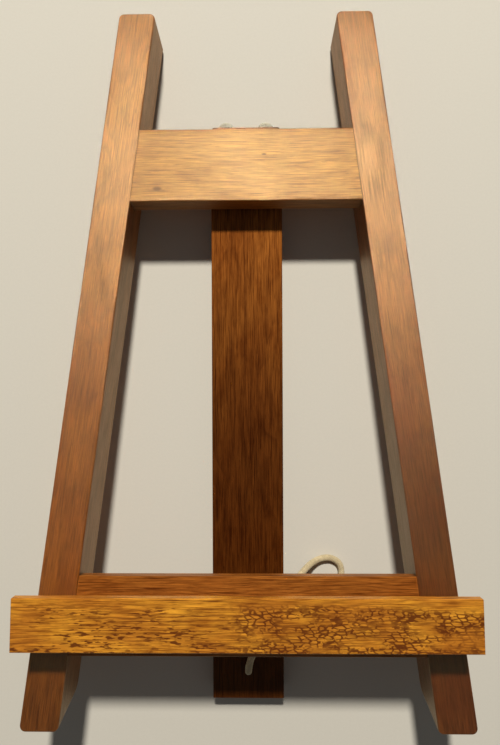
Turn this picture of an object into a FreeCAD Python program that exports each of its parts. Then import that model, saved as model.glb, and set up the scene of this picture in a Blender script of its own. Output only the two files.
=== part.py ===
import FreeCAD, Part
import math
import os

# A folding wooden plate stand. All sizes are in millimetres.
#
# The pieces are drawn with the frame flat: X runs across the stand, Y runs up it from the soles of
# the feet, and Z runs forward, with the frame's front faces at Z = 0. The rear leg is drawn folded.
# At the end the leg is opened a little and the whole stand is laid on its back, as it is stored.

# ---- frame ----
frame_height = 290.0          # soles of the feet to the tops of the uprights
top_half_width = 53.0         # middle of the stand to an upright's outer edge, at the top
foot_half_width = 88.0        # the same at the feet
upright_width = 15.0          # across an upright's front face, square to its length
upright_depth = 22.5          # front face to back face
foot_lean = 16.0              # degrees that the frame leans back when it stands on its soles
heel_radius = 6.0             # rounding at the back of each sole
corner_radius = 2.2           # rounding of an upright's end corners, seen from the front
edge_radius = 0.5             # eased long edges of all the timber
end_edge_radius = 0.5         # eased edges round the top ends
bar_height = 30.5             # crossbar and lower rail, across their front faces
bar_thickness = 10.0
crossbar_drop = 50.5          # top of the uprights down to the top of the crossbar
rail_top = 58.9               # soles up to the top of the lower rail
rail_bevel = 6.0              # planed off the back of the rail's top edge, up and in

# ---- ledge ----
ledge_length = 167.7
ledge_bottom = 37.8           # soles up to the underside of the ledge
shelf_depth = 16.5
shelf_thickness = 10.0
lip_thickness = 3.5
lip_height = 19.0
lip_edge_radius = 0.5

# ---- rear leg ----
leg_width = 30.5
leg_thickness = 10.0
leg_gap = 0.3                 # between the folded leg and the crossbar
leg_end_height = -0.8         # soles up to the end of the folded leg, which reaches just past them
leg_rest_angle = 4.0          # degrees that the leg stands open as the stand lies on its back

# ---- hinge ----
leaf_length = 28.0
leaf_thickness = 0.9
leaf_inset = 1.0              # from a leaf's free edge to the face of the wood
leaf_corner = 1.0
leaf_lift = 0.15              # under the barrel, so that it turns clear of the wood
pin_radius = 0.9
pin_clearance = 0.05
pin_head_radius = 1.6
pin_head_height = 0.6
knuckle_gap = 0.2

# ---- screws and dowels ----
hinge_screw_spread = 16.4     # between the two screws of one leaf
round_head_radius = 3.7
round_head_height = 3.4
head_barrel_room = 0.3        # from a screw's head to the barrel of the hinge
shank_radius = 1.6
hinge_screw_length = 16.0
shelf_screw_spread = 84.0
flat_head_radius = 3.1
flat_head_height = 1.9
shelf_screw_length = 20.0
screw_tip_length = 3.0
slot_width = 0.9
slot_depth = 1.1
screw_clearance = 0.03
dowel_radius = 2.5
dowel_spacing = 15.0
dowel_in_bar = 14.0
dowel_in_upright = 10.0
dowel_chamfer = 0.6
dowel_clearance = 0.04
dowel_end_room = 0.5          # empty depth left in the holes beyond a dowel's ends

# ---- cord ----
cord_radius = 1.5
cord_hole_clearance = 0.25
rail_hole_height = 43.0       # soles up to the cord's hole in the lower rail
leg_hole_height = 13.4        # end of the leg up to the cord's hole in it
knot_radius = 3.0
knot_height = 4.2
knot_rounding = 1.1
rail_exit_reach = 5.0         # straight out of the rail's hole to the cord's first point
leg_exit_reach = 5.4          # the same at the leg's hole
pocket_clearance = 0.7        # around a knot in its pocket
pocket_room = 0.8             # from a knot's end to the mouth of its pocket
arc_share = 0.45              # of the shorter run beside a point, taken by the arc there

# The slack cord, from the rail's knot round to the leg's knot, in the frame of the finished part.
# The holes set its two ends, and a first and a last point straight out of them.
cord_bends = [
    (7.8, -101.6, 21.0),
    (14.4, -98.2, 21.4),
    (19.8, -94.2, 15.4),
    (24.4, -91.2, 7.8),
    (29.8, -88.6, 2.3),
    (36.2, -87.4, 1.6),
    (41.3, -90.4, 1.6),
    (41.4, -97.2, 1.6),
    (37.4, -102.4, 2.6),
    (31.4, -105.2, 8.0),
    (25.8, -107.4, 14.6),
    (19.8, -109.6, 20.6),
    (12.6, -112.2, 22.3),
    (6.0, -116.0, 22.0),
    (1.8, -121.6, 21.0),
    (0.4, -127.4, 18.8),
]

# ---- derived ----
slant = math.atan((foot_half_width - top_half_width) / frame_height)
upright_span = upright_width / math.cos(slant)      # across an upright, measured along X
crossbar_top = frame_height - crossbar_drop
leg_length = crossbar_top - leg_end_height
leg_front = -bar_thickness - leg_gap
knuckle_radius = pin_radius + pin_clearance + leaf_thickness
hinge_y = crossbar_top + leaf_lift + knuckle_radius
hinge_z = -bar_thickness - leg_gap / 2
pocket_radius = knot_radius + pocket_clearance
pocket_depth = knot_height + pocket_room
cord_hole_radius = cord_radius + cord_hole_clearance
rail_web = bar_thickness - pocket_depth             # wood left between a pocket and the far face
leg_web = leg_thickness - pocket_depth
along_x = FreeCAD.Vector(1, 0, 0)
along_y = FreeCAD.Vector(0, 1, 0)
along_z = FreeCAD.Vector(0, 0, 1)


def point(x, y, z):
    return FreeCAD.Vector(x, y, z)


def outer_half_width(y):
    return foot_half_width - y * math.tan(slant)


def inner_half_width(y):
    return outer_half_width(y) - upright_span


def plank(outline, back, front):
    """A board whose front outline is a list of (x, y) corners."""
    corners = [point(x, y, back) for x, y in outline]
    face = Part.Face(Part.makePolygon(corners + corners[:1]))
    return face.extrude(point(0, 0, front - back))


def block(x0, x1, y0, y1, z0, z1):
    return Part.makeBox(x1 - x0, y1 - y0, z1 - z0, point(x0, y0, z0))


def ease(solid, radius, wanted):
    """Round the straight edges that the function wanted picks by their two ends."""
    edges = [edge for edge in solid.Edges if wanted(*[vertex.Point for vertex in edge.Vertexes])]
    return solid.makeFillet(radius, edges)


def same(a, b):
    return abs(a - b) < 1e-6


def runs_along_x(a, b):
    return same(a.y, b.y) and same(a.z, b.z)


def runs_along_y(a, b):
    return same(a.x, b.x) and same(a.z, b.z)


def turned(profile, centre, axis):
    """The solid swept by a closed profile, in the plane through centre and axis, all the way round."""
    return Part.Face(profile).revolve(centre, axis, 360)


# ---- timber ----

def upright(side):
    """One slanted upright. side is -1 for the left and 1 for the right."""
    outline = [
        (side * outer_half_width(0), 0),
        (side * outer_half_width(frame_height), frame_height),
        (side * inner_half_width(frame_height), frame_height),
        (side * inner_half_width(0), 0),
    ]
    solid = plank(outline, -upright_depth, 0)
    # The sole is cut so that it lies flat on the table when the frame leans back.
    sole = block(-foot_half_width * 1.5, foot_half_width * 1.5, -frame_height, 0, -frame_height, 0)
    sole.rotate(point(0, 0, 0), along_x, foot_lean)
    solid = solid.cut(sole)
    rise = upright_depth * math.tan(math.radians(foot_lean))

    def heel(a, b):
        return runs_along_x(a, b) and same(a.z, -upright_depth) and same(a.y, rise)

    def end_corner(a, b):
        return abs(a.z - b.z) > upright_depth / 2

    def long_edge(a, b):
        return same(a.z, b.z) and abs(a.y - b.y) > frame_height / 2

    def top_edge(a, b):
        return same(a.y, frame_height) and same(b.y, frame_height)

    solid = ease(solid, heel_radius, heel)
    solid = ease(solid, corner_radius, end_corner)
    solid = ease(solid, edge_radius, long_edge)
    solid = ease(solid, end_edge_radius, top_edge)
    for bar_middle in (crossbar_top - bar_height / 2, rail_top - bar_height / 2):
        for hole in dowel_holes(side, bar_middle):
            solid = solid.cut(hole)
    return solid


def bar(top):
    """A board between the uprights, with its ends cut to their slant."""
    bottom = top - bar_height
    outline = [
        (-inner_half_width(bottom), bottom),
        (inner_half_width(bottom), bottom),
        (inner_half_width(top), top),
        (-inner_half_width(top), top),
    ]
    solid = ease(plank(outline, -bar_thickness, 0), edge_radius, runs_along_x)
    for side in (-1, 1):
        for hole in dowel_holes(side, top - bar_height / 2):
            solid = solid.cut(hole)
    return solid


def dowel_places(bar_middle):
    return [bar_middle + dowel_spacing / 2, bar_middle - dowel_spacing / 2]


def dowel_rod(side, y, radius, room):
    """A rod along X across the joint between a bar and an upright."""
    joint_x = inner_half_width(y)
    inner_end = point(side * (joint_x - dowel_in_bar - room), y, -bar_thickness / 2)
    length = dowel_in_bar + dowel_in_upright + 2 * room
    return Part.makeCylinder(radius, length, inner_end, point(side, 0, 0))


def dowel_holes(side, bar_middle):
    radius = dowel_radius + dowel_clearance
    return [dowel_rod(side, y, radius, dowel_end_room) for y in dowel_places(bar_middle)]


def dowel(side, y):
    rod = dowel_rod(side, y, dowel_radius, 0)
    rims = [edge for edge in rod.Edges if isinstance(edge.Curve, Part.Circle)]
    return rod.makeChamfer(dowel_chamfer, rims)


def crossbar():
    solid = bar(crossbar_top)
    for x in hinge_screw_places:
        solid = solid.cut(hinge_screw(x, frame_leaf_middle, screw_clearance))
    return solid


def rail_shaving():
    """What is planed off the back of the rail's top edge."""
    half = foot_half_width
    back = -bar_thickness
    corners = [point(-half, rail_top, back), point(-half, rail_top - rail_bevel, back),
               point(-half, rail_top, back + rail_bevel)]
    return Part.Face(Part.makePolygon(corners + corners[:1])).extrude(point(2 * half, 0, 0))


def lower_rail():
    solid = bar(rail_top).cut(rail_shaving())
    for x in shelf_screw_places:
        solid = solid.cut(shelf_screw(x, screw_clearance))
    # The cord's hole, with a pocket behind the ledge that holds its knot.
    pocket = Part.makeCylinder(pocket_radius, pocket_depth,
                               point(0, rail_hole_height, -pocket_depth), along_z)
    hole = Part.makeCylinder(cord_hole_radius, bar_thickness,
                             point(0, rail_hole_height, -bar_thickness), along_z)
    return solid.cut(pocket).cut(hole)


def plate_shelf():
    half = ledge_length / 2
    solid = block(-half, half, ledge_bottom, ledge_bottom + shelf_thickness, 0, shelf_depth)

    def side_edge(a, b):
        return runs_along_y(a, b) and same(a.z, 0)

    solid = ease(solid, lip_edge_radius, side_edge)
    for x in shelf_screw_places:
        solid = solid.cut(shelf_screw(x, screw_clearance))
    return solid


def front_lip():
    half = ledge_length / 2
    front = shelf_depth + lip_thickness
    solid = block(-half, half, ledge_bottom, ledge_bottom + lip_height, shelf_depth, front)

    def free_edge(a, b):
        top = same(a.y, ledge_bottom + lip_height) and same(b.y, a.y)
        return top or (same(a.z, front) and same(b.z, front))

    return ease(solid, lip_edge_radius, free_edge)


def rear_leg():
    half = leg_width / 2
    back = leg_front - leg_thickness
    end = crossbar_top - leg_length
    solid = block(-half, half, end, crossbar_top, back, leg_front)

    def long_edge(a, b):
        return runs_along_y(a, b)

    def end_edge(a, b):
        return same(a.y, b.y) and (same(a.y, end) or same(a.y, crossbar_top))

    solid = ease(solid, edge_radius, long_edge)
    solid = ease(solid, end_edge_radius, end_edge)
    for x in hinge_screw_places:
        solid = solid.cut(hinge_screw(x, leg_leaf_middle, screw_clearance))
    hole_y = end + leg_hole_height
    pocket = Part.makeCylinder(pocket_radius, pocket_depth, point(0, hole_y, back), along_z)
    hole = Part.makeCylinder(cord_hole_radius, leg_thickness, point(0, hole_y, back), along_z)
    return solid.cut(pocket).cut(hole)


# ---- hinge ----

leaf_width = bar_thickness - leaf_inset + leg_gap / 2        # free edge to the pin's axis
screw_edge_distance = leaf_width - knuckle_radius - head_barrel_room - round_head_radius
frame_leaf_middle = -leaf_inset - screw_edge_distance
leg_leaf_middle = 2 * hinge_z - frame_leaf_middle
hinge_screw_places = (-hinge_screw_spread / 2, hinge_screw_spread / 2)
shelf_screw_places = (-shelf_screw_spread / 2, shelf_screw_spread / 2)
knuckle_length = leaf_length / 3


def leaf(side, knuckles):
    """One hinge leaf. side is 1 for the frame's leaf and -1 for the leg's; knuckles are (x0, x1)."""
    half = leaf_length / 2
    free_edge = hinge_z + side * leaf_width
    bottom = crossbar_top
    z0, z1 = sorted((hinge_z, free_edge))
    plate = block(-half, half, bottom, bottom + leaf_thickness, z0, z1)

    def free_corner(a, b):
        return runs_along_y(a, b) and same(a.z, free_edge)

    plate = ease(plate, leaf_corner, free_corner)
    barrel_room = Part.makeCylinder(knuckle_radius + knuckle_gap, leaf_length,
                                    point(-half, hinge_y, hinge_z), along_x)
    solid = plate.cut(barrel_room)
    reach = knuckle_radius + 2 * knuckle_gap
    for x0, x1 in knuckles:
        tube = Part.makeCylinder(knuckle_radius, x1 - x0, point(x0, hinge_y, hinge_z), along_x)
        z0, z1 = sorted((hinge_z, hinge_z + side * reach))
        web = block(x0, x1, bottom + leaf_lift, bottom + leaf_thickness, z0, z1)
        solid = solid.fuse(tube).fuse(web)
    bore_radius = pin_radius + pin_clearance
    bore = Part.makeCylinder(bore_radius, leaf_length, point(-half, hinge_y, hinge_z), along_x)
    solid = solid.cut(bore)
    for x in hinge_screw_places:
        middle = frame_leaf_middle if side > 0 else leg_leaf_middle
        solid = solid.cut(hinge_screw(x, middle, screw_clearance))
    return solid.removeSplitter()


def frame_leaf():
    inner = knuckle_length / 2 + knuckle_gap / 2
    outer = leaf_length / 2
    return leaf(1, [(-outer, -inner), (inner, outer)])


def leg_leaf():
    inner = knuckle_length / 2 - knuckle_gap / 2
    return leaf(-1, [(-inner, inner)])


def hinge_pin():
    half = leaf_length / 2
    centre = point(-half, hinge_y, hinge_z)
    rod = Part.makeCylinder(pin_radius, leaf_length, centre, along_x)
    for x in (-half - pin_head_height, half):
        head = Part.makeCylinder(pin_head_radius, pin_head_height, point(x, hinge_y, hinge_z), along_x)
        rod = rod.fuse(head)
    return rod.removeSplitter()


# ---- screws ----

def hinge_screw(x, z, clearance=0.0):
    """A round-head wood screw, driven down through a leaf. With a clearance it is its own hole."""
    seat = crossbar_top + leaf_thickness
    radius = shank_radius + clearance
    depth = hinge_screw_length + clearance
    corners = [point(0, seat, 0), point(radius, seat, 0),
               point(radius, seat - depth + screw_tip_length, 0), point(0, seat - depth, 0)]
    shank = turned(Part.makePolygon(corners + corners[:1]), point(0, 0, 0), along_y)
    if clearance == 0.0:
        head = round_head(seat)
        shank = shank.fuse(head).removeSplitter()
    shank.translate(point(x, 0, z))
    return shank


def round_head(seat):
    """A domed head that stands on the level seat, with a straight slot."""
    sphere_radius = (round_head_radius ** 2 + round_head_height ** 2) / (2 * round_head_height)
    crown = point(0, seat + round_head_height, 0)
    rim = point(round_head_radius, seat, 0)
    centre_y = seat + round_head_height - sphere_radius
    half_turn = math.asin(min(1.0, round_head_radius / sphere_radius)) / 2
    middle = point(sphere_radius * math.sin(half_turn), centre_y + sphere_radius * math.cos(half_turn), 0)
    foot = point(0, seat, 0)
    edges = [Part.LineSegment(foot, rim).toShape(), Part.Arc(rim, middle, crown).toShape(),
             Part.LineSegment(crown, foot).toShape()]
    dome = turned(Part.Wire(edges), point(0, 0, 0), along_y)
    slot = block(-round_head_radius, round_head_radius, seat + round_head_height - slot_depth,
                 seat + round_head_height, -slot_width / 2, slot_width / 2)
    return dome.cut(slot)


def shelf_screw(x, clearance=0.0):
    """A flat-head wood screw from the back of the lower rail into the shelf, or its hole."""
    y = ledge_bottom + shelf_thickness / 2
    seat = -bar_thickness
    shank = shank_radius + clearance
    head = flat_head_radius + clearance
    depth = shelf_screw_length + clearance
    corners = [(0, seat), (head, seat), (shank, seat + flat_head_height),
               (shank, seat + depth - screw_tip_length), (0, seat + depth)]
    profile = [point(radius, 0, z) for radius, z in corners]
    solid = turned(Part.makePolygon(profile + profile[:1]), point(0, 0, 0), along_z)
    if clearance == 0.0:
        slot = block(-flat_head_radius, flat_head_radius, -slot_width / 2, slot_width / 2,
                     seat, seat + slot_depth)
        solid = solid.cut(slot)
    solid.translate(point(x, y, 0))
    return solid


# ---- cord ----

def knot(z_seat, y, direction):
    """A stopper knot as a plain rounded bun, sitting on the floor of its pocket."""
    solid = Part.makeCylinder(knot_radius, knot_height, point(0, y, z_seat), point(0, 0, direction))
    rims = [edge for edge in solid.Edges if isinstance(edge.Curve, Part.Circle)]
    return solid.makeFillet(knot_rounding, rims)


def rail_knot():
    return knot(-pocket_depth, rail_hole_height, 1)


def leg_knot():
    return knot(leg_front - leg_web, crossbar_top - leg_length + leg_hole_height, -1)


def cord_route():
    """All points of the cord: knot and exit at the rail, the slack, and exit and knot at the leg."""
    leg_y = crossbar_top - leg_length + leg_hole_height
    rail_end = [point(0, rail_hole_height, -pocket_depth),
                point(0, rail_hole_height, -bar_thickness - rail_exit_reach)]
    leg_end = [point(0, leg_y, leg_front + leg_exit_reach),
               point(0, leg_y, leg_front - leg_web)]
    slack = [point(*bend) for bend in cord_bends]
    return [lay_down(p) for p in rail_end] + slack + [lay_down(open_leg(p)) for p in leg_end]


def taut_angle(free_length):
    """Degrees from folded at which a cord of this length between the two holes stops the leg."""
    rail_arm = point(0, rail_hole_height - hinge_y, -bar_thickness - hinge_z)
    leg_arm = point(0, crossbar_top - leg_length + leg_hole_height - hinge_y, leg_front - hinge_z)
    span = rail_arm.Length ** 2 + leg_arm.Length ** 2 - free_length ** 2
    apart = math.degrees(math.acos(span / (2 * rail_arm.Length * leg_arm.Length)))
    folded = math.atan2(rail_arm.z, -rail_arm.y) - math.atan2(leg_arm.z, -leg_arm.y)
    return apart - math.degrees(folded)


def cord_tube():
    route = cord_route()
    edges = []
    here = route[0]
    length = 0.0
    for before, corner, after in zip(route, route[1:], route[2:]):
        back = before - corner
        ahead = after - corner
        turn = math.pi - back.getAngle(ahead)
        cut = arc_share * min(back.Length, ahead.Length)
        radius = cut / math.tan(turn / 2)
        back.normalize()
        ahead.normalize()
        first = corner + back * cut
        last = corner + ahead * cut
        inward = (back + ahead).normalize()
        bulge = radius / math.cos(turn / 2) - radius
        edges.append(Part.LineSegment(here, first).toShape())
        edges.append(Part.Arc(first, corner + inward * bulge, last).toShape())
        length += (first - here).Length + radius * turn
        here = last
        print("cord arc radius %.1f, turn %.0f degrees" % (radius, math.degrees(turn)))
    edges.append(Part.LineSegment(here, route[-1]).toShape())
    length += (route[-1] - here).Length
    path = Part.Wire(edges)
    section = Part.Wire([Part.makeCircle(cord_radius, route[0], route[1] - route[0])])
    tube = path.makePipeShell([section], True, False)
    expected = math.pi * cord_radius ** 2 * length
    print("cord length %.1f, volume %.1f of %.1f" % (length, tube.Volume, expected))
    free_length = length - rail_web - leg_web
    stop = taut_angle(free_length)
    print("free length %.1f, the leg stops %.2f degrees from folded" % (free_length, stop))
    return tube


# ---- placing ----

def open_leg(thing):
    """Swing a point or a shape of the leg from folded to the angle it rests at."""
    axis_point = point(0, hinge_y, hinge_z)
    swing = FreeCAD.Placement(point(0, 0, 0), FreeCAD.Rotation(along_x, leg_rest_angle), axis_point)
    return moved(thing, swing)


def resting_tilt():
    """The slope of the frame as it lies on the uprights' tops and on the end of the open leg."""
    leg_corner = open_leg(point(0, crossbar_top - leg_length, leg_front - leg_thickness))
    drop = -upright_depth - leg_corner.z
    return math.degrees(math.atan2(drop, frame_height - leg_corner.y))


def lay_down(thing):
    return moved(thing, bed)


def moved(thing, placement):
    if isinstance(thing, FreeCAD.Vector):
        return placement.multVec(thing)
    thing.transformShape(placement.toMatrix())
    return thing


def bed_placement(timber):
    """Tilt the stand onto the table and put the origin at the middle of the timber's base."""
    tilt = FreeCAD.Placement(point(0, 0, 0), FreeCAD.Rotation(along_x, -resting_tilt()))
    boxes = [moved(solid.copy(), tilt).optimalBoundingBox(False, False) for solid in timber]
    low_y = min(box.YMin for box in boxes)
    high_y = max(box.YMax for box in boxes)
    low_z = min(box.ZMin for box in boxes)
    return FreeCAD.Placement(point(0, -(low_y + high_y) / 2, -low_z), tilt.Rotation)


frame_nodes = {
    "left_upright": upright(-1),
    "right_upright": upright(1),
    "crossbar": crossbar(),
    "lower_rail": lower_rail(),
    "plate_shelf": plate_shelf(),
    "front_lip": front_lip(),
    "frame_hinge_leaf": frame_leaf(),
    "hinge_pin": hinge_pin(),
    "rail_knot": rail_knot(),
}
leg_nodes = {
    "rear_leg": rear_leg(),
    "leg_hinge_leaf": leg_leaf(),
    "leg_knot": leg_knot(),
}
for side, side_name in ((-1, "left"), (1, "right")):
    place = (side + 1) // 2
    screw_x = hinge_screw_places[place]
    frame_nodes["frame_hinge_screw_" + side_name] = hinge_screw(screw_x, frame_leaf_middle)
    leg_nodes["leg_hinge_screw_" + side_name] = hinge_screw(screw_x, leg_leaf_middle)
    frame_nodes["shelf_screw_" + side_name] = shelf_screw(shelf_screw_places[place])
    for bar_name, bar_top in (("crossbar", crossbar_top), ("rail", rail_top)):
        for row, y in zip(("upper", "lower"), dowel_places(bar_top - bar_height / 2)):
            frame_nodes["_".join((bar_name, "dowel", side_name, row))] = dowel(side, y)

bed = bed_placement([frame_nodes["left_upright"], open_leg(leg_nodes["rear_leg"].copy())])
nodes = {name: lay_down(solid) for name, solid in frame_nodes.items()}
nodes.update({name: lay_down(open_leg(solid)) for name, solid in leg_nodes.items()})
nodes["stay_cord"] = cord_tube()

os.makedirs("parts", exist_ok=True)
for name, solid in nodes.items():
    solid.exportStep("parts/" + name + ".step")
    print("%-28s volume %9.1f valid %s" % (name, solid.Volume, solid.isValid()))
print("resting tilt %.3f degrees" % resting_tilt())
hinge_axis = lay_down(point(0, hinge_y, hinge_z))
print("hinge axis y %.4f z %.4f" % (hinge_axis.y, hinge_axis.z))
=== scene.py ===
import math

import bpy
from mathutils import Euler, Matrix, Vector


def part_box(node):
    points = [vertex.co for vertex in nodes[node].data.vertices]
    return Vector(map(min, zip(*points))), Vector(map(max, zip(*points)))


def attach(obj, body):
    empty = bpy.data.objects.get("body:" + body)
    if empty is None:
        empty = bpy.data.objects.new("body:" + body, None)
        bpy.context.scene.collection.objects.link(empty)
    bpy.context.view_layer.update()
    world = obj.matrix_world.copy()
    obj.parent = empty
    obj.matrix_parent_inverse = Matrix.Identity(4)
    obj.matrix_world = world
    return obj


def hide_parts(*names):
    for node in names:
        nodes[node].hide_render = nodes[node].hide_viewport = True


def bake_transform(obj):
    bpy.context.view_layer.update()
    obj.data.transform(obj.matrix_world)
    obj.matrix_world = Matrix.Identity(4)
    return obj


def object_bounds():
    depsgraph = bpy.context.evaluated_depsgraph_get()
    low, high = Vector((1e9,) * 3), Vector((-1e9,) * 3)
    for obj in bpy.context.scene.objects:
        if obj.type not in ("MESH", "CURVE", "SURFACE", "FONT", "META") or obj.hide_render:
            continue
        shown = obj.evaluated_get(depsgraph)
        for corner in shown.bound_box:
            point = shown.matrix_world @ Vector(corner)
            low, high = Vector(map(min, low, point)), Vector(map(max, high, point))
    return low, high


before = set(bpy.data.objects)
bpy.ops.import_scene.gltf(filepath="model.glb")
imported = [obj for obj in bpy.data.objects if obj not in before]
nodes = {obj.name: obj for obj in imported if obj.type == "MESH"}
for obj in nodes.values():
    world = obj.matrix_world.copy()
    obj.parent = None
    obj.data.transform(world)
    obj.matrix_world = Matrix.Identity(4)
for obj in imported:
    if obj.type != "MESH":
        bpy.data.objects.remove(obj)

# Folding wooden plate stand, lying on its back with the leg a little open.
# X across the stand, Y up it from the feet, Z up off the floor. All in metres.

cadLow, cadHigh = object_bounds()
mm = 0.001


cameraKit = {
    "aside": 5.2 * mm,          # right of the stand's middle
    "fromFeet": 133.36 * mm,    # up the stand from the feet
    "above": 217.23 * mm,       # over the uprights' front faces
    "turn": (1.23, 0.958, -0.219),
    "lens": 27.114,
}


def placeCamera():
    kit = cameraKit
    low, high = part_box("left_upright")
    place = (kit["aside"], low.y + kit["fromFeet"], high.z + kit["above"])
    turn = [math.radians(angle) for angle in kit["turn"]]
    bpy.ops.object.camera_add(location=place, rotation=turn)
    camera = bpy.context.object
    camera.name = "standCamera"
    camera.data.lens = kit["lens"]
    camera.data.sensor_width = 36
    camera.data.clip_start = 0.01
    bpy.context.scene.camera = camera


placeCamera()
print("camera placed")


def newMesh(name, points, faces, coords):
    mesh = bpy.data.meshes.new(name)
    mesh.from_pydata(points, [], faces)
    layer = mesh.uv_layers.new(name="along")
    for loop in mesh.loops:
        layer.data[loop.index].uv = coords[loop.vertex_index]
    mesh.polygons.foreach_set("use_smooth", [True] * len(mesh.polygons))
    mesh.update()
    piece = bpy.data.objects.new(name, mesh)
    bpy.context.scene.collection.objects.link(piece)
    return piece


def dress(piece, finish):
    piece.data.materials.clear()
    piece.data.materials.append(finish)


def newFinish(name):
    finish = bpy.data.materials.new(name)
    finish.use_nodes = True
    tree = finish.node_tree
    return finish, tree, tree.nodes["Principled BSDF"]


def plug(tree, socket, value):
    # a socket is linked, anything else is typed in
    if isinstance(value, bpy.types.NodeSocket):
        tree.links.new(value, socket)
    else:
        socket.default_value = value


def sums(tree, operation, first, second=0.0, clamp=False):
    node = tree.nodes.new("ShaderNodeMath")
    node.operation = operation
    node.use_clamp = clamp
    plug(tree, node.inputs[0], first)
    plug(tree, node.inputs[1], second)
    return node.outputs[0]


def blendColour(tree, amount, first, second, how="MIX"):
    node = tree.nodes.new("ShaderNodeMix")
    node.data_type = "RGBA"
    node.blend_type = how
    plug(tree, node.inputs[0], amount)
    plug(tree, node.inputs[6], first)
    plug(tree, node.inputs[7], second)
    return node.outputs[2]


def dyed(tree, tone, dye):
    # a tone seen through a coat of stain
    return blendColour(tree, 1.0, tone, (*dye, 1), "MULTIPLY")


def steps(tree, source, low, high, start=0.0, end=1.0):
    # low to high becomes start to end, held at both ends
    node = tree.nodes.new("ShaderNodeMapRange")
    node.interpolation_type = "SMOOTHSTEP"
    plug(tree, node.inputs[0], source)
    node.inputs[1].default_value = low
    node.inputs[2].default_value = high
    node.inputs[3].default_value = start
    node.inputs[4].default_value = end
    return node.outputs[0]


def moved(tree, source, place=(0, 0, 0), turn=(0, 0, 0), size=(1, 1, 1)):
    node = tree.nodes.new("ShaderNodeMapping")
    plug(tree, node.inputs["Vector"], source)
    node.inputs["Location"].default_value = place
    node.inputs["Rotation"].default_value = [math.radians(angle) for angle in turn]
    node.inputs["Scale"].default_value = size
    return node.outputs[0]


def noise(tree, source, scale=1.0, detail=3.0, rough=0.55):
    node = tree.nodes.new("ShaderNodeTexNoise")
    plug(tree, node.inputs["Vector"], source)
    node.inputs["Scale"].default_value = scale
    node.inputs["Detail"].default_value = detail
    node.inputs["Roughness"].default_value = rough
    return node.outputs[0]


def ramp(tree, source, stops):
    node = tree.nodes.new("ShaderNodeValToRGB")
    plug(tree, node.inputs[0], source)
    band = node.color_ramp
    while len(band.elements) < len(stops):
        band.elements.new(0.5)
    for element, (place, colour) in zip(band.elements, stops):
        element.position = place
        element.color = (*colour, 1)
    return node.outputs[0]


def edgeMask(tree, radius):
    # 1 on sharp and eased edges, 0 on flat faces
    rounded = tree.nodes.new("ShaderNodeBevel")
    rounded.samples = 4
    rounded.inputs["Radius"].default_value = radius
    flat = tree.nodes.new("ShaderNodeNewGeometry")
    dot = tree.nodes.new("ShaderNodeVectorMath")
    dot.operation = "DOT_PRODUCT"
    tree.links.new(rounded.outputs[0], dot.inputs[0])
    tree.links.new(flat.outputs["True Normal"], dot.inputs[1])
    away = sums(tree, "SUBTRACT", 1.0, dot.outputs["Value"])
    return steps(tree, away, 0.02, 0.3)


def dirtAndShadeMask(tree, reach, low=0.35, high=0.9):
    # ambient occlusion, 1 deep in corners and joints, 0 in the open: painted shade on the wood and the
    # cord, tarnish on the metal
    shade = tree.nodes.new("ShaderNodeAmbientOcclusion")
    shade.samples = 6
    shade.inputs["Distance"].default_value = reach
    return steps(tree, shade.outputs["AO"], low, high, 1.0, 0.0)


def bumps(tree, shader, height, strength, distance):
    node = tree.nodes.new("ShaderNodeBump")
    node.inputs["Strength"].default_value = strength
    node.inputs["Distance"].default_value = distance
    tree.links.new(height, node.inputs["Height"])
    tree.links.new(node.outputs[0], shader.inputs["Normal"])


# the cord's route, from the knot in the rail round to the knot in the leg
cordRoute = [
    (0.0, -0.101327, 0.029975),
    (0.0, -0.101833, 0.019987),
    (0.0078, -0.1016, 0.021),
    (0.0144, -0.0982, 0.0214),
    (0.0198, -0.0942, 0.0154),
    (0.0244, -0.0912, 0.0078),
    (0.0298, -0.0886, 0.0023),
    (0.0362, -0.0874, 0.0016),
    (0.0413, -0.0904, 0.0016),
    (0.0414, -0.0972, 0.0016),
    (0.0374, -0.1024, 0.0026),
    (0.0314, -0.1052, 0.008),
    (0.0258, -0.1074, 0.0146),
    (0.0198, -0.1096, 0.0206),
    (0.0126, -0.1122, 0.0223),
    (0.006, -0.116, 0.022),
    (0.0018, -0.1216, 0.021),
    (0.0004, -0.1274, 0.0188),
    (0.0, -0.132301, 0.015644),
    (0.0, -0.132101, 0.005246),
]

cordKit = {
    "diameter": 3.0 * mm,
    "length": 144.4 * mm,         # knot to knot, along the cord
    "holeMouth": (0.0, -0.10158, 0.024981),
    "strands": 8,                 # each way round
    "twist": 7.0 * mm,            # along the cord for one turn of a strand
    "rise": 0.12 * mm,            # over and under
    "strandWide": 0.46 * mm,      # half width
    "strandThick": 0.26 * mm,     # half thickness
    "step": 0.34 * mm,
    "drop": 21.6 * mm,            # this far below its hole the cord goes with the leg
    "colour": (0.78, 0.66, 0.41),
    "shadow": (0.42, 0.31, 0.16),
}


def nurbsLine(name, route):
    curve = bpy.data.curves.new(name, "CURVE")
    curve.dimensions = "3D"
    curve.resolution_u = 24
    spline = curve.splines.new("NURBS")
    spline.points.add(len(route) - 1)
    for point, place in zip(spline.points, route):
        point.co = (*place, 1)
    spline.order_u = 3
    spline.use_endpoint_u = True
    line = bpy.data.objects.new(name, curve)
    bpy.context.scene.collection.objects.link(line)
    return line


def pointsOf(line):
    mesh = bpy.data.meshes.new_from_object(line)
    places = [vertex.co.copy() for vertex in mesh.vertices]
    bpy.data.meshes.remove(mesh)
    bpy.data.objects.remove(line)
    return places


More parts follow.
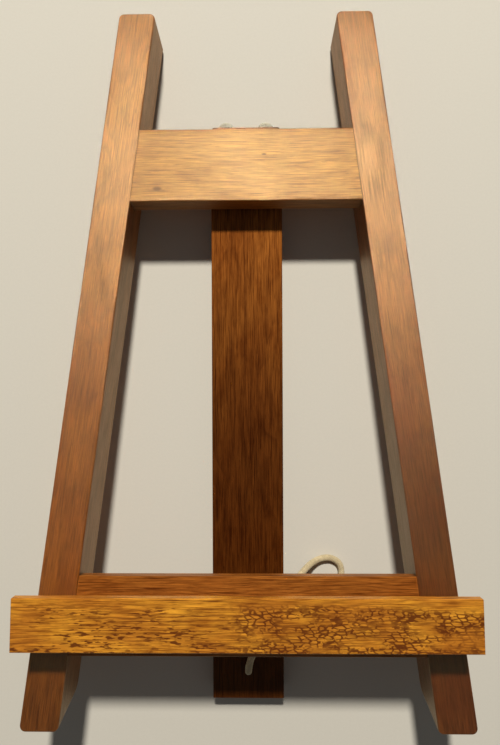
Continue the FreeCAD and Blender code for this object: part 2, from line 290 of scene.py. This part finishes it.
def evenPoints(places, step):
    # points a step apart along the line
    lengths = [0.0]
    for before, after in zip(places, places[1:]):
        lengths.append(lengths[-1] + (after - before).length)
    count = max(2, round(lengths[-1] / step))
    result = []
    at = 0
    for number in range(count + 1):
        target = lengths[-1] * number / count
        while at < len(lengths) - 2 and lengths[at + 1] < target:
            at += 1
        span = lengths[at + 1] - lengths[at] or 1.0
        result.append(places[at].lerp(places[at + 1], (target - lengths[at]) / span))
    return result, lengths[-1]


def sideAxes(places):
    # a pair of axes square to the line at each point, carried along without twist
    ways = []
    for number in range(len(places)):
        before = places[max(number - 1, 0)]
        after = places[min(number + 1, len(places) - 1)]
        ways.append((after - before).normalized())
    side = ways[0].orthogonal().normalized()
    pairs = []
    for way in ways:
        side = (side - way * side.dot(way)).normalized()
        pairs.append((side, way.cross(side)))
    return pairs


def tubeFaces(start, rows, sides):
    # the wall and both ends of a tube whose points run ring after ring
    faces = []
    for row in range(rows - 1):
        low = start + row * sides
        for corner in range(sides):
            after = (corner + 1) % sides
            faces.append((low + corner, low + after, low + sides + after, low + sides + corner))
    last = start + (rows - 1) * sides
    faces.append(tuple(start + corner for corner in reversed(range(sides))))
    faces.append(tuple(last + corner for corner in range(sides)))
    return faces


def braid(name, places, kit, radius):
    places, length = evenPoints(places, kit["step"])
    pairs = sideAxes(places)
    rows = len(places)
    step = length / (rows - 1)
    middle = radius - kit["rise"] - kit["strandThick"]
    points = []
    faces = []
    coords = []
    sides = 6
    for hand in (1, -1):
        for strand in range(kit["strands"]):
            start = len(points)
            for number, (place, (side, other)) in enumerate(zip(places, pairs)):
                turned = math.tau * step * number / kit["twist"]
                angle = hand * turned + math.tau * strand / kit["strands"]
                weave = math.cos(kit["strands"] * turned)
                reach = middle + hand * kit["rise"] * weave
                outward = side * math.cos(angle) + other * math.sin(angle)
                around = other * math.cos(angle) - side * math.sin(angle)
                for corner in range(sides):
                    turn = math.tau * corner / sides
                    wide = around * (kit["strandWide"] * math.cos(turn))
                    thick = outward * (kit["strandThick"] * math.sin(turn))
                    points.append(place + outward * reach + wide + thick)
                    coords.append((corner / sides + strand, step * number / kit["twist"]))
            faces += tubeFaces(start, rows, sides)
    # the core that shows between the strands
    start = len(points)
    core = middle - 0.1 * mm
    sides = 12
    for number, (place, (side, other)) in enumerate(zip(places, pairs)):
        for corner in range(sides):
            turn = math.tau * corner / sides
            outward = side * math.cos(turn) + other * math.sin(turn)
            points.append(place + outward * core)
            coords.append((corner / sides, step * number / kit["twist"]))
    faces += tubeFaces(start, rows, sides)
    return newMesh(name, points, faces, coords)


def cottonFinish(name, kit):
    finish, tree, shader = newFinish(name)
    place = tree.nodes.new("ShaderNodeTexCoord")
    along = moved(tree, place.outputs["UV"], size=(6, 3, 1))
    fibres = noise(tree, along, scale=9, detail=4, rough=0.7)
    spots = noise(tree, place.outputs["Object"], scale=260, detail=2)
    soiled = noise(tree, place.outputs["Object"], scale=60, detail=2)
    tone = blendColour(tree, steps(tree, fibres, 0.3, 0.75), (*kit["colour"], 1), (*kit["shadow"], 1))
    pale = [min(1.0, part * 1.25) for part in kit["colour"]]
    tone = blendColour(tree, steps(tree, spots, 0.45, 0.7, 0, 0.5), tone, (*pale, 1))
    tone = blendColour(tree, steps(tree, soiled, 0.5, 0.75, 0, 0.25), tone, (*kit["shadow"], 1))
    # painted shade in the cord's creases and where it lies against the wood
    tone = blendColour(tree, dirtAndShadeMask(tree, 1.2 * mm, 0.2, 0.8), tone, (*kit["shadow"], 1))
    plug(tree, shader.inputs["Base Color"], tone)
    plug(tree, shader.inputs["Roughness"], steps(tree, fibres, 0.2, 0.8, 0.75, 0.95))
    shader.inputs["Sheen Weight"].default_value = 0.25
    shader.inputs["Sheen Roughness"].default_value = 0.5
    bumps(tree, shader, fibres, 0.5, 0.15 * mm)
    return finish


def makeCord():
    kit = cordKit
    line = pointsOf(nurbsLine("cordLine", cordRoute))
    cord = braid("braidedStayCord", line, kit, kit["diameter"] / 2)
    dress(cord, cottonFinish("cottonCord", kit))
    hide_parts("stay_cord")
    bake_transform(cord)


makeCord()
print("stay cord braided")


upLean = 6.88        # degrees that each upright leans in
lieTilt = 2.9        # degrees that the frame's top lies lower than its feet

timberKit = {
    "left_upright": {
        "turn": (lieTilt, 0, upLean), "place": (3, 0, 5), "heart": (-38, -60), "ring": 2.1,
        "light": (0.36, 0.112, 0.014), "dark": (0.13, 0.030, 0.005), "red": (0.26, 0.064, 0.009),
        "rings": 0.55, "streaks": 0.75, "dashes": 0.75, "blotch": 0.6,
        "fade": (-70, -150, 0.50),      # from, to and how much is left clear of the darkening: darker towards the feet
        "eyes": [(-0.0476, 0.0468, 1.6)],
    },
    "right_upright": {
        "turn": (lieTilt, 0, -upLean), "place": (71, 31, 17), "heart": (44, -70), "ring": 2.6,
        "light": (0.33, 0.100, 0.020), "dark": (0.11, 0.025, 0.006), "red": (0.25, 0.056, 0.012),
        "rings": 0.45, "streaks": 0.8, "dashes": 0.65, "blotch": 0.9,
        "fade": (10, -90, 0.42),
    },
    "crossbar": {
        "turn": (lieTilt, 0, 90), "place": (13, 57, 3), "heart": (60, -45), "ring": 2.4,
        "light": (0.36, 0.125, 0.015), "dark": (0.14, 0.038, 0.006), "red": (0.27, 0.078, 0.010),
        "rings": 0.45, "streaks": 0.7, "dashes": 0.6, "blotch": 0.6, "shine": 0.72,
        "eyes": [(-0.0365, 0.070, 1.3), (0.0075, 0.0842, 0.7)],
    },
    "lower_rail": {
        "turn": (lieTilt, 0, 90), "place": (33, 17, 43), "heart": (-50, -75), "ring": 1.7,
        "light": (0.42, 0.138, 0.020), "dark": (0.15, 0.038, 0.006), "red": (0.31, 0.085, 0.012),
        "rings": 0.7, "streaks": 0.8, "dashes": 0.5, "blotch": 0.5, "shine": 0.5,
    },
    "front_lip": {
        "turn": (lieTilt, 0, 90), "place": (23, 7, 63), "heart": (-30, -85), "ring": 1.9,
        "light": (0.88, 0.375, 0.030), "dark": (0.20, 0.050, 0.007), "red": (0.52, 0.155, 0.014),
        "rings": 0.5, "streaks": 0.8, "dashes": 0.5, "blotch": 0.75, "shine": 0.6,
        "band": (118, 123),             # the figure starts this far across the board
        "turnTo": (-8, 12),             # and turns from strokes to blocks between these places
    },
    "plate_shelf": {
        "turn": (lieTilt, 0, 90), "place": (43, 27, 3), "heart": (-30, -85), "ring": 1.9,
        "light": (0.50, 0.19, 0.024), "dark": (0.18, 0.046, 0.007), "red": (0.36, 0.11, 0.014),
        "rings": 0.5, "streaks": 0.7, "dashes": 0.6, "blotch": 0.5, "shine": 0.5,
    },
    # the leg takes no gloss from the sheen light: its fade is a painted sheen, lighter near the hinge and
    # darker towards the foot
    "rear_leg": {
        "turn": (-1.1, 0, 0), "place": (53, 47, 23), "heart": (30, -95), "ring": 2.3,
        "light": (0.40, 0.128, 0.020), "dark": (0.15, 0.038, 0.007), "red": (0.29, 0.078, 0.012),
        "rings": 0.55, "streaks": 0.7, "dashes": 0.6, "blotch": 0.6, "shine": 0.16,
        "fade": (90, -60, 0.17),
    },
    "dowels": {
        "turn": (lieTilt, 0, 90), "place": (0, 0, 0), "heart": (30, -45), "ring": 1.6,
        "light": (0.60, 0.42, 0.24), "dark": (0.42, 0.26, 0.13), "red": (0.52, 0.33, 0.17),
        "rings": 0.5, "streaks": 0.3, "dashes": 0.3, "blotch": 0.2,
    },
}

stainAndShadeKit = {
    "cloud": (0.62, 0.50, 0.42),
    "pale": (1.45, 1.5, 1.5),
    "fibre": (0.44, 0.33, 0.25),
    "darker": (0.60, 0.46, 0.45),       # share of a board's dark tone
    "worn": (1.3, 1.3, 1.2),
    "deeper": (0.12, 0.07, 0.05),
    # colour of the painted shade in corners and joints, with grime
    "shadeAndGrime": (0.018, 0.007, 0.003),
}

polishKit = {
    "rough": 0.40,
    "pores": 0.16,        # how much duller the pores and streaks are
    "ior": 1.8,           # a thick oily stain that takes the wood's own colour
    "shine": 1.1,
    "tint": (1.0, 0.77, 0.42),
    "bump": 0.5,
}


def boardPoint(kit, spot):
    # a place on the stand, in a board's own millimetres
    turn = Euler([math.radians(angle) for angle in kit["turn"]]).to_matrix()
    return turn @ (Vector(spot) * 1000) + Vector(kit["place"])


def grainOf(tree, board):
    # the patterns that every board is mixed from: place, size per millimetre, detail, roughness
    kinds = {
        "drift": ((0, 0, 0), (0.03, 0.011, 0.03), 2, 0.55),
        "waves": ((0, 0, 0), (0.11, 0.022, 0.11), 3, 0.55),
        "fibre": ((0, 0, 0), (2.5, 0.070, 2.5), 5, 0.68),
        "streak": ((9, 3, 5), (1.3, 0.026, 1.3), 5, 0.62),
        "dash": ((5, 9, 2), (2.1, 0.15, 2.1), 3, 0.55),
        "patch": ((2, 5, 7), (0.05, 0.024, 0.05), 4, 0.6),
        "cloud": ((7, 2, 4), (0.16, 0.07, 0.16), 3, 0.6),
    }
    return {name: noise(tree, moved(tree, board, place, size=size), detail=detail, rough=rough)
            for name, (place, size, detail, rough) in kinds.items()}


def ringsOf(tree, parts, grain, kit):
    # growth rings about the heart of the tree, dark at the end of each year
    across = sums(tree, "SUBTRACT", parts.outputs[0], kit["heart"][0])
    deep = sums(tree, "SUBTRACT", parts.outputs[2], kit["heart"][1])
    square = sums(tree, "ADD", sums(tree, "MULTIPLY", across, across), sums(tree, "MULTIPLY", deep, deep))
    reach = sums(tree, "SQRT", square)
    for name, wander in (("drift", 26.0), ("waves", 5.0), ("fibre", 1.1)):
        reach = sums(tree, "ADD", reach, sums(tree, "MULTIPLY", grain[name], wander))
    year = sums(tree, "FRACT", sums(tree, "DIVIDE", reach, kit["ring"]))
    late = ramp(tree, year, [(0.0, (0.1,) * 3), (0.45, (0.25,) * 3), (0.82, (0.95,) * 3),
                             (0.9, (1.0,) * 3), (1.0, (0.1,) * 3)])
    return sums(tree, "MULTIPLY", late, steps(tree, grain["waves"], 0.3, 0.7, 0.35, 1.0))


def figureOf(tree, board, parts, kit):
    # rising strokes at one end of the board, broken blocks at the other, in patches
    strokes = noise(tree, moved(tree, board, (4, 1, 8), (0, 0, 20), (1.5, 0.28, 0.8)), detail=2, rough=0.5)
    strokes = steps(tree, strokes, 0.52, 0.60)
    cells = tree.nodes.new("ShaderNodeTexVoronoi")
    cells.feature = "DISTANCE_TO_EDGE"
    bent = moved(tree, board, (2, 7, 3), (0, 0, -12), (0.85, 0.34, 0.4))
    wander = tree.nodes.new("ShaderNodeVectorMath")
    wander.operation = "ADD"
    tree.links.new(bent, wander.inputs[0])
    ripple = noise(tree, moved(tree, board, size=(0.35, 0.16, 0.2)), detail=2)
    tree.links.new(ripple, wander.inputs[1])
    tree.links.new(wander.outputs[0], cells.inputs["Vector"])
    cells.inputs["Scale"].default_value = 1.0
    cells.inputs["Randomness"].default_value = 0.6
    blocks = steps(tree, cells.outputs["Distance"], 0.20, 0.06)
    gaps = noise(tree, moved(tree, board, (8, 4, 1), size=(0.8, 0.5, 0.5)), detail=2)
    blocks = sums(tree, "MULTIPLY", blocks, steps(tree, gaps, 0.34, 0.46))
    over = steps(tree, parts.outputs[1], *kit["turnTo"])
    both = sums(tree, "ADD", sums(tree, "MULTIPLY", strokes, sums(tree, "SUBTRACT", 1.0, over)),
                sums(tree, "MULTIPLY", blocks, over), clamp=True)
    band = noise(tree, moved(tree, board, (1, 6, 3), size=(0.09, 0.020, 0.09)), detail=3)
    lowHalf = steps(tree, sums(tree, "ADD", parts.outputs[0], sums(tree, "MULTIPLY", band, 11.0)),
                    *kit["band"])
    patches = noise(tree, moved(tree, board, (3, 8, 6), size=(0.14, 0.06, 0.1)), detail=2)
    patches = steps(tree, patches, 0.36, 0.5, 0.1, 1)
    return sums(tree, "MULTIPLY", both, sums(tree, "MULTIPLY", lowHalf, patches))


def eyeMask(tree, board, kit, spot, radius):
    # a small dark knot where a twig grew
    x, y = spot
    place = boardPoint(kit, (x, y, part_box("crossbar")[1].z))
    near = moved(tree, board, (-place.x, -place.y * 0.45, 0), size=(1, 0.45, 0))
    length = tree.nodes.new("ShaderNodeVectorMath")
    length.operation = "LENGTH"
    tree.links.new(near, length.inputs[0])
    return steps(tree, length.outputs["Value"], radius, radius * 0.25)


def timberFinish(name, kit):
    finish, tree, shader = newFinish(name)
    place = tree.nodes.new("ShaderNodeTexCoord")
    # board millimetres: x across, y along the grain, z through the thickness
    board = moved(tree, place.outputs["Object"], kit["place"], kit["turn"], (1000, 1000, 1000))
    grain = grainOf(tree, board)
    parts = tree.nodes.new("ShaderNodeSeparateXYZ")
    tree.links.new(board, parts.inputs[0])
    late = ringsOf(tree, parts, grain, kit)
    tone = blendColour(tree, steps(tree, grain["patch"], 0.36, 0.62, 0, kit["blotch"]),
                       (*kit["light"], 1), (*kit["red"], 1))
    tone = blendColour(tree, sums(tree, "MULTIPLY", late, kit["rings"]), tone, (*kit["dark"], 1))
    cloudy = dyed(tree, tone, stainAndShadeKit["cloud"])
    tone = blendColour(tree, steps(tree, grain["cloud"], 0.5, 0.72, 0, kit["blotch"]), tone, cloudy)
    pale = dyed(tree, tone, stainAndShadeKit["pale"])
    tone = blendColour(tree, steps(tree, grain["fibre"], 0.48, 0.34, 0, 0.8), tone, pale)
    stained = dyed(tree, tone, stainAndShadeKit["fibre"])
    tone = blendColour(tree, steps(tree, grain["fibre"], 0.46, 0.66, 0, 0.95), tone, stained)
    darker = tuple(part * share for part, share in zip(kit["dark"], stainAndShadeKit["darker"])) + (1,)
    streaks = sums(tree, "MULTIPLY", steps(tree, grain["streak"], 0.52, 0.66),
                   steps(tree, grain["fibre"], 0.38, 0.58))
    streaks = sums(tree, "MULTIPLY", streaks, kit["streaks"])
    dashes = sums(tree, "MULTIPLY", steps(tree, grain["dash"], 0.60, 0.70), kit["dashes"])
    dark = sums(tree, "MAXIMUM", streaks, dashes)
    if "band" in kit:
        dark = sums(tree, "MAXIMUM", dark, sums(tree, "MULTIPLY", figureOf(tree, board, parts, kit), 0.92))
    for x, y, radius in kit.get("eyes", []):
        dark = sums(tree, "MAXIMUM", dark, eyeMask(tree, board, kit, (x, y), radius))
    tone = blendColour(tree, dark, tone, darker)
    # darker towards one end of each board: towards the feet on the uprights, and on the leg a painted
    # sheen, lighter at the top
    if "fade" in kit:
        start, end, left = kit["fade"]
        along = sums(tree, "ADD", parts.outputs[1], sums(tree, "MULTIPLY", grain["drift"], 40.0))
        shift = kit["place"][1] + 20
        shade = steps(tree, along, end + shift, start + shift, 1 - left, 0)
        deeper = dyed(tree, tone, stainAndShadeKit["deeper"])
        tone = blendColour(tree, shade, tone, deeper)
    # end grain drinks more stain
    facing = tree.nodes.new("ShaderNodeVectorMath")
    facing.operation = "DOT_PRODUCT"
    tree.links.new(place.outputs["Normal"], facing.inputs[0])
    turn = Euler([math.radians(angle) for angle in kit["turn"]]).to_matrix()
    facing.inputs[1].default_value = turn.transposed() @ Vector((0, 1, 0))
    ends = steps(tree, sums(tree, "ABSOLUTE", facing.outputs["Value"]), 0.6, 0.9, 0, 0.6)
    tone = blendColour(tree, ends, tone, darker)
    # stain gathers along the edges, which are rubbed pale in places
    edges = edgeMask(tree, 0.9 * mm)
    rubbed = steps(tree, grain["patch"], 0.5, 0.62)
    worn = blendColour(tree, rubbed, darker, dyed(tree, pale, stainAndShadeKit["worn"]))
    tone = blendColour(tree, sums(tree, "MULTIPLY", edges, 0.7), tone, worn)
    # painted shade: corners, joints and undersides darkened nearly to black, with some grime
    shadeAndGrime = sums(tree, "MULTIPLY", dirtAndShadeMask(tree, 3 * mm), 0.9)
    tone = blendColour(tree, shadeAndGrime, tone, (*stainAndShadeKit["shadeAndGrime"], 1))
    plug(tree, shader.inputs["Base Color"], tone)
    dull = sums(tree, "MAXIMUM", dark, steps(tree, grain["fibre"], 0.46, 0.68, 0, 0.8))
    dull = sums(tree, "MAXIMUM", dull, shadeAndGrime)
    rough = polishKit["rough"]
    gloss = sums(tree, "ADD", steps(tree, grain["cloud"], 0.3, 0.7, rough, rough + 0.06),
                 sums(tree, "MULTIPLY", dull, polishKit["pores"]))
    plug(tree, shader.inputs["Roughness"], gloss)
    shader.inputs["IOR"].default_value = polishKit["ior"]
    shader.inputs["Specular IOR Level"].default_value = kit.get("shine", polishKit["shine"])
    shader.inputs["Specular Tint"].default_value = (*polishKit["tint"], 1)
    height = sums(tree, "SUBTRACT", grain["fibre"], sums(tree, "MULTIPLY", dark, 0.6))
    bumps(tree, shader, height, polishKit["bump"], 0.12 * mm)
    return finish


for boardName, kit in timberKit.items():
    if boardName in nodes:
        dress(nodes[boardName], timberFinish(boardName + "Timber", kit))
dowelTimber = timberFinish("dowelTimber", timberKit["dowels"])
for nodeName in nodes:
    if "dowel" in nodeName:
        dress(nodes[nodeName], dowelTimber)
print("timber stained")


metalKit = {
    "leaf": {"colour": (0.20, 0.085, 0.040), "tarnish": (0.06, 0.024, 0.012), "rough": 0.42},
    "nickel": {"colour": (0.86, 0.80, 0.64), "tarnish": (0.42, 0.34, 0.20), "rough": 0.30,
               "metallic": 0.6},
    "zinc": {"colour": (0.55, 0.56, 0.56), "tarnish": (0.22, 0.21, 0.18), "rough": 0.42},
}


def metalFinish(name, kit):
    finish, tree, shader = newFinish(name)
    place = tree.nodes.new("ShaderNodeTexCoord")
    spots = noise(tree, place.outputs["Object"], scale=420, detail=4, rough=0.65)
    scuffs = noise(tree, moved(tree, place.outputs["Object"], size=(2600, 260, 900)), detail=2)
    clean = (*kit["colour"], 1)
    tarnish = (*kit["tarnish"], 1)
    tone = blendColour(tree, steps(tree, spots, 0.42, 0.72, 0, 0.8), clean, tarnish)
    tone = blendColour(tree, dirtAndShadeMask(tree, 1.2 * mm), tone, tarnish)
    tone = blendColour(tree, sums(tree, "MULTIPLY", edgeMask(tree, 0.25 * mm), 0.4), tone, clean)
    plug(tree, shader.inputs["Base Color"], tone)
    shader.inputs["Metallic"].default_value = kit.get("metallic", 1.0)
    gloss = sums(tree, "ADD", steps(tree, spots, 0.3, 0.75, kit["rough"] - 0.06, kit["rough"] + 0.16),
                 steps(tree, scuffs, 0.5, 0.8, 0, 0.1))
    plug(tree, shader.inputs["Roughness"], gloss)
    bumps(tree, shader, sums(tree, "ADD", spots, scuffs), 0.15, 0.05 * mm)
    return finish


metals = {name: metalFinish(name + "Metal", kit) for name, kit in metalKit.items()}
metalOf = {"hinge_leaf": "leaf", "hinge_pin": "leaf", "hinge_screw": "nickel", "shelf_screw": "zinc"}
for nodeName, node in nodes.items():
    for part, metal in metalOf.items():
        if part in nodeName:
            dress(node, metals[metal])
print("metal finished")


knotKit = {
    "turns": 48,
    "cord": 1.15 * mm,      # drawn tight, so thinner than the free cord
    "finer": 0.72,
}


def makeKnot(name, node, body):
    low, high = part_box(node)
    middle = (low + high) / 2
    size = high - low
    reach = min(size.x, size.y) / 2 - knotKit["cord"]
    rise = size.z / 2 - knotKit["cord"]
    route = []
    for number in range(knotKit["turns"]):
        turn = math.tau * number / knotKit["turns"]
        x = (math.sin(turn) + 2 * math.sin(2 * turn)) / 3 * reach
        y = (math.cos(turn) - 2 * math.cos(2 * turn)) / 3 * reach
        route.append(middle + Vector((x, y, -math.sin(3 * turn) * rise)))
    route.append(route[0])
    kit = dict(cordKit)
    for part in ("strandWide", "strandThick", "rise"):
        kit[part] = cordKit[part] * knotKit["finer"]
    knot = braid(name, route, kit, knotKit["cord"])
    dress(knot, bpy.data.materials["cottonCord"])
    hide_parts(node)
    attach(knot, body)


makeKnot("railKnotTied", "rail_knot", "frame")
makeKnot("legKnotTied", "leg_knot", "leg")
print("knots tied")


studioKit = {
    "floor": (0.70, 0.655, 0.56),
    "floorTooth": (0.5, 0.46, 0.39),
    "keyAbove": 52,          # degrees over the floor, beyond the stand's top
    "keyFar": 2.0,
    "keyAim": 0,
    "keySize": 0.16,
    "keyPower": 43,
    "keyColour": (1.0, 0.975, 0.92),
    "sheenAbove": 64,
    "sheenFar": 2.0,
    "sheenAim": 0.055,       # up the stand from its middle
    "sheenSize": 0.2,
    "sheenPower": 0.155,
    "sheenSpread": 11,       # degrees
    "sheenOn": ("upright", "crossbar", "hinge"),
    "fill": 0.085,
    "fillColour": (0.95, 0.97, 1.0),
}


def addLight(name):
    kit = studioKit
    rise = math.radians(kit[name + "Above"])
    way = Vector((0, math.cos(rise), math.sin(rise)))
    aim = Vector((0, kit[name + "Aim"], 0))
    bpy.ops.object.light_add(type="AREA", location=aim + way * kit[name + "Far"])
    light = bpy.context.object
    light.name = name + "Light"
    light.rotation_euler = (-way).to_track_quat("-Z", "Y").to_euler()
    light.data.shape = "DISK"
    light.data.size = kit[name + "Size"]
    light.data.energy = kit[name + "Power"]
    light.data.color = kit["keyColour"]
    return light


def makeStudio():
    kit = studioKit
    bpy.ops.mesh.primitive_plane_add(size=4, location=(0, 0, cadLow[2]))
    floor = bpy.context.object
    floor.name = "paleFloor"
    finish, tree, shader = newFinish("paleFloorPaper")
    place = tree.nodes.new("ShaderNodeTexCoord")
    tooth = noise(tree, place.outputs["Object"], scale=900, detail=2)
    tooth = steps(tree, tooth, 0.3, 0.7, 0, 0.06)
    tone = blendColour(tree, tooth, (*kit["floor"], 1), (*kit["floorTooth"], 1))
    plug(tree, shader.inputs["Base Color"], tone)
    shader.inputs["Roughness"].default_value = 0.95
    shader.inputs["Specular IOR Level"].default_value = 0.15
    dress(floor, finish)
    # the key gives the body colour and the shadows, and no gloss
    key = addLight("key")
    key.visible_glossy = False
    # the sheen light gives gloss alone, in a narrow beam, on the pieces listed below
    sheen = addLight("sheen")
    sheen.visible_diffuse = False
    sheen.data.spread = math.radians(kit["sheenSpread"])
    polished = bpy.data.collections.new("polished")
    for nodeName, node in nodes.items():
        if any(part in nodeName for part in kit["sheenOn"]):
            polished.objects.link(node)
    sheen.light_linking.receiver_collection = polished
    world = bpy.data.worlds.new("softRoom")
    bpy.context.scene.world = world
    world.use_nodes = True
    sky = world.node_tree.nodes["Background"]
    sky.inputs["Color"].default_value = (*kit["fillColour"], 1)
    sky.inputs["Strength"].default_value = kit["fill"]
    bpy.context.scene.view_settings.view_transform = "Standard"


makeStudio()
print("floor and light set")
